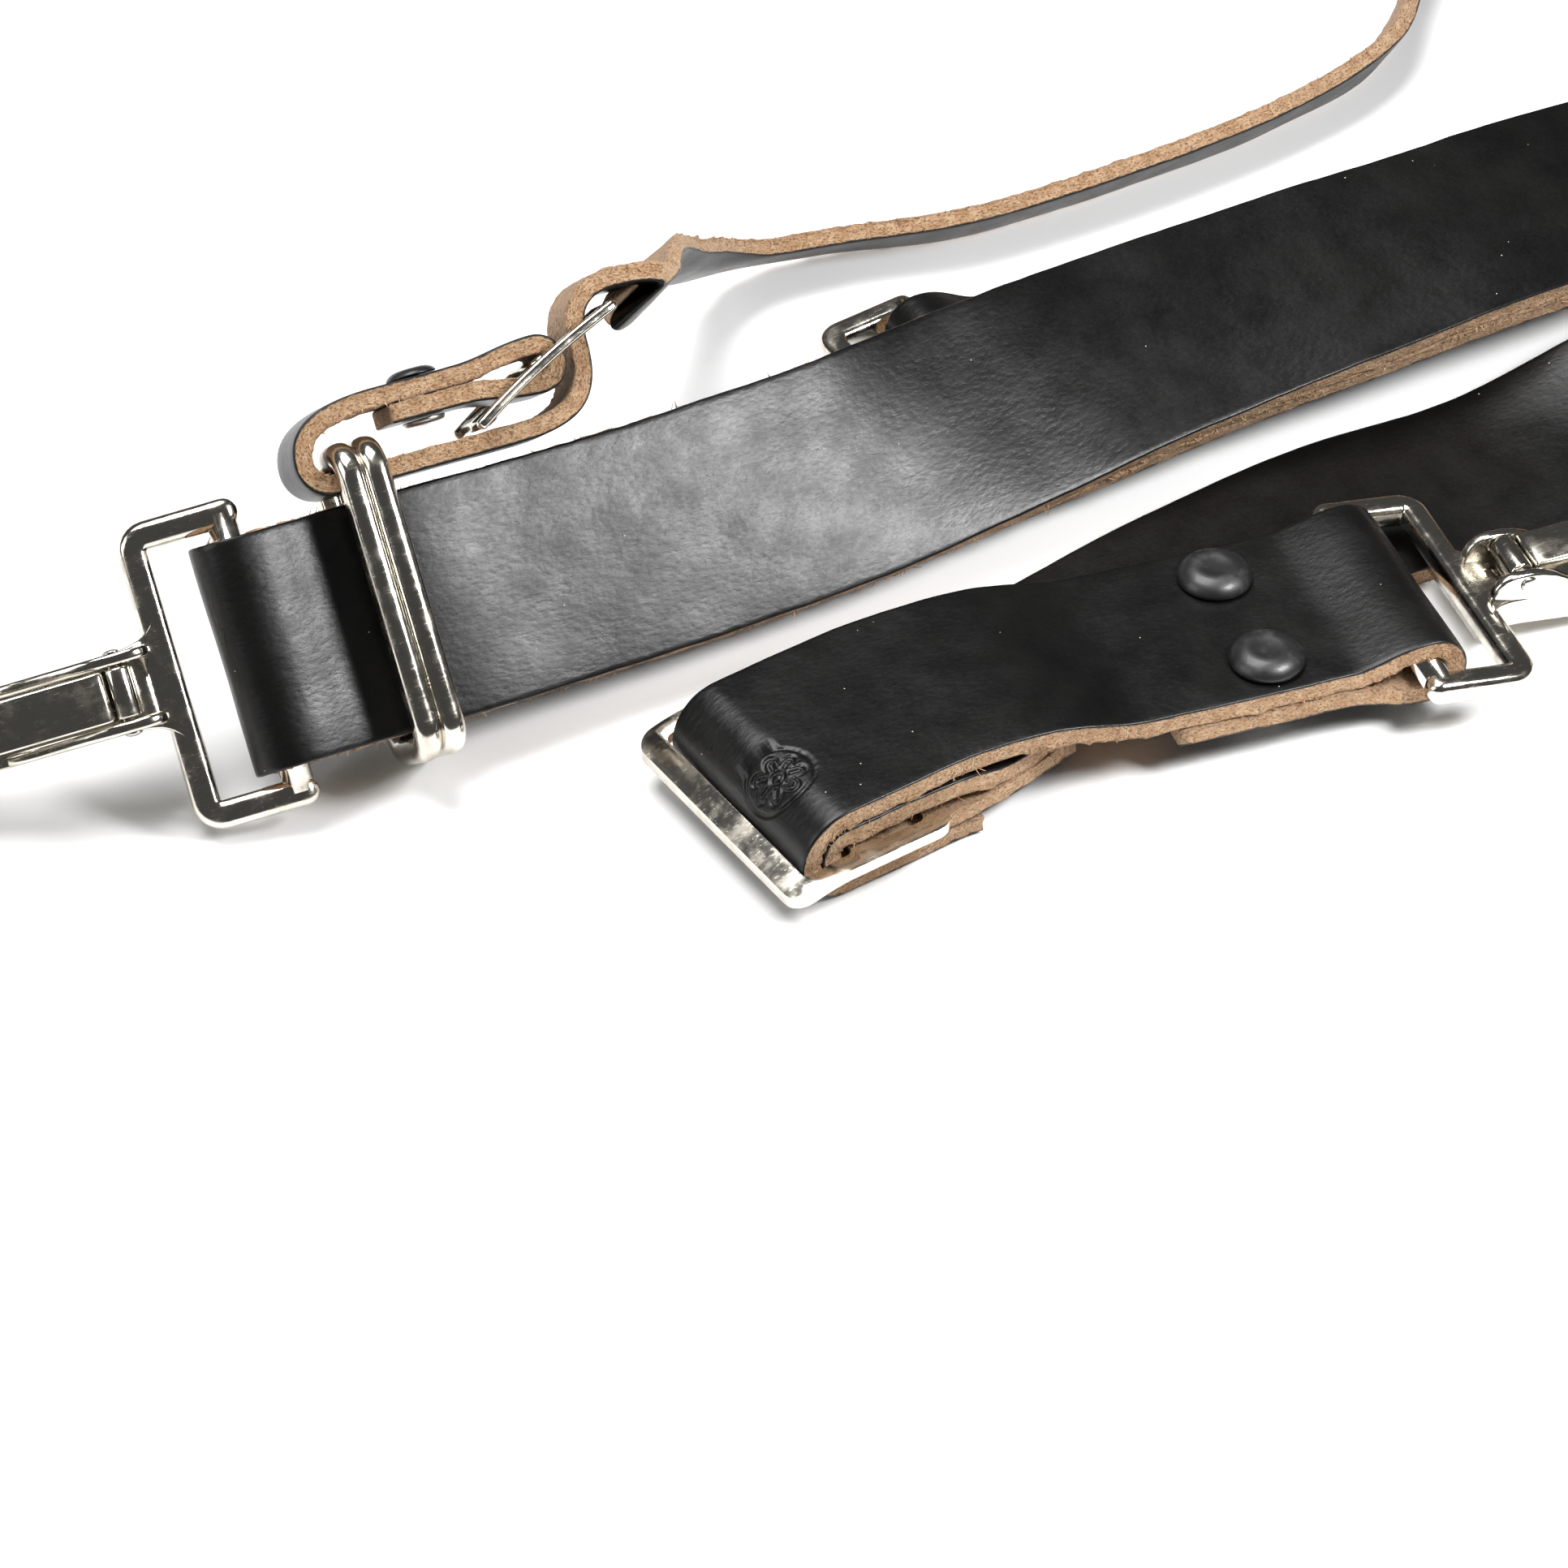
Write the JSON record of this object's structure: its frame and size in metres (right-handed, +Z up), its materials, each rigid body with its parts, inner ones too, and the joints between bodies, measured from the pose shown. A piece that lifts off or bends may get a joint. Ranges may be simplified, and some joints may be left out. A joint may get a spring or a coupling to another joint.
{
  "type": "suspenders",
  "caption": "Black leather suspenders laid out: wide shoulder straps meeting at a yoke, narrow cross strap, nickel snap hooks, slides, keepers and black snaps.",
  "frame": {"origin": "middle of the footprint, on the surface the suspenders lie on", "axes": "+X along the straps towards the yoke and back strap's fold, +Y across towards the narrow cross strap, +Z up"},
  "size_m": [0.6324, 0.203, 0.0621],
  "materials": {
    "leather_black": "finished black face with natural tan edges and flesh side",
    "nickel": "bright nickel plate",
    "steel": "plain plated steel",
    "black_enamel": "glossy black enamel"
  },
  "bodies": {
    "straps": {"strap_left": "leather_black", "strap_right": "leather_black", "strap_tab": "leather_black", "strap_back": "leather_black", "strap_cross": "leather_black", "yoke_back": "leather_black", "yoke_front": "leather_black", "snap_tab_1_cap": "black_enamel", "snap_tab_1_ring": "steel", "snap_left_1_cap": "black_enamel", "snap_left_1_ring": "steel", "snap_back_1_cap": "black_enamel", "snap_back_1_ring": "steel", "rivet_loop_1_cap": "black_enamel", "rivet_loop_1_ring": "steel", "snap_tab_2_cap": "black_enamel", "snap_tab_2_ring": "steel", "snap_left_2_cap": "black_enamel", "snap_left_2_ring": "steel", "snap_back_2_cap": "black_enamel", "snap_back_2_ring": "steel", "rivet_loop_2_cap": "black_enamel", "rivet_loop_2_ring": "steel", "rivet_cross_1_cap": "black_enamel", "rivet_cross_1_ring": "steel", "rivet_cross_2_cap": "black_enamel", "rivet_cross_2_ring": "steel", "rivet_yoke_1_cap": "black_enamel", "rivet_yoke_1_ring": "steel", "rivet_yoke_2_cap": "black_enamel", "rivet_yoke_2_ring": "steel", "rivet_yoke_3_cap": "black_enamel", "rivet_yoke_3_ring": "steel", "rivet_yoke_4_cap": "black_enamel", "rivet_yoke_4_ring": "steel", "rivet_yoke_5_cap": "black_enamel", "rivet_yoke_5_ring": "steel", "rivet_yoke_6_cap": "black_enamel", "rivet_yoke_6_ring": "steel", "slide_wide": "nickel", "keeper_left": "nickel", "keeper_right": "nickel", "slide_small_left": "nickel", "slide_small_right": "nickel"},
    "hook_left": {"hook_left_body": "nickel", "hook_left_pin": "steel"},
    "hook_left_gate": {"hook_left_tongue": "nickel"},
    "hook_tab": {"hook_tab_body": "nickel", "hook_tab_pin": "steel"},
    "hook_tab_gate": {"hook_tab_tongue": "nickel"},
    "hook_back": {"hook_back_body": "nickel", "hook_back_pin": "steel"},
    "hook_back_gate": {"hook_back_tongue": "nickel"}
  },
  "joints": [
    {"name": "hook_left_swing", "type": "hinge", "parent": "straps", "child": "hook_left", "pos_m": [-0.25153, -0.00636, 0.02386], "axis": [0.0623, 0.6662, 0.7431], "range_deg": [0, 35]},
    {"name": "hook_left_press", "type": "hinge", "parent": "hook_left", "child": "hook_left_gate", "pos_m": [-0.2745, -0.00362, 0.02333], "axis": [-0.0623, -0.6662, -0.7431], "range_deg": [0, 9], "stiffness_Nm_per_rad": 0.3, "springref_deg": -4.58},
    {"name": "hook_tab_swing", "type": "hinge", "parent": "straps", "child": "hook_tab", "pos_m": [-0.07892, -0.07308, 0.01052], "axis": [-0.1875, -0.9823, 0], "range_deg": [0, 60]},
    {"name": "hook_tab_press", "type": "hinge", "parent": "hook_tab", "child": "hook_tab_gate", "pos_m": [-0.05634, -0.07739, 0.01319], "axis": [0.1875, 0.9823, 0], "range_deg": [0, 9], "stiffness_Nm_per_rad": 0.3, "springref_deg": -4.58},
    {"name": "hook_back_swing", "type": "hinge", "parent": "straps", "child": "hook_back", "pos_m": [-0.10564, 0.01457, 0.00858], "axis": [-0.0029, 1, 0], "range_deg": [0, 12]},
    {"name": "hook_back_press", "type": "hinge", "parent": "hook_back", "child": "hook_back_gate", "pos_m": [-0.12851, 0.0145, 0.01211], "axis": [0.0029, -1, 0], "range_deg": [0, 9], "stiffness_Nm_per_rad": 0.3, "springref_deg": -4.58}
  ]
}
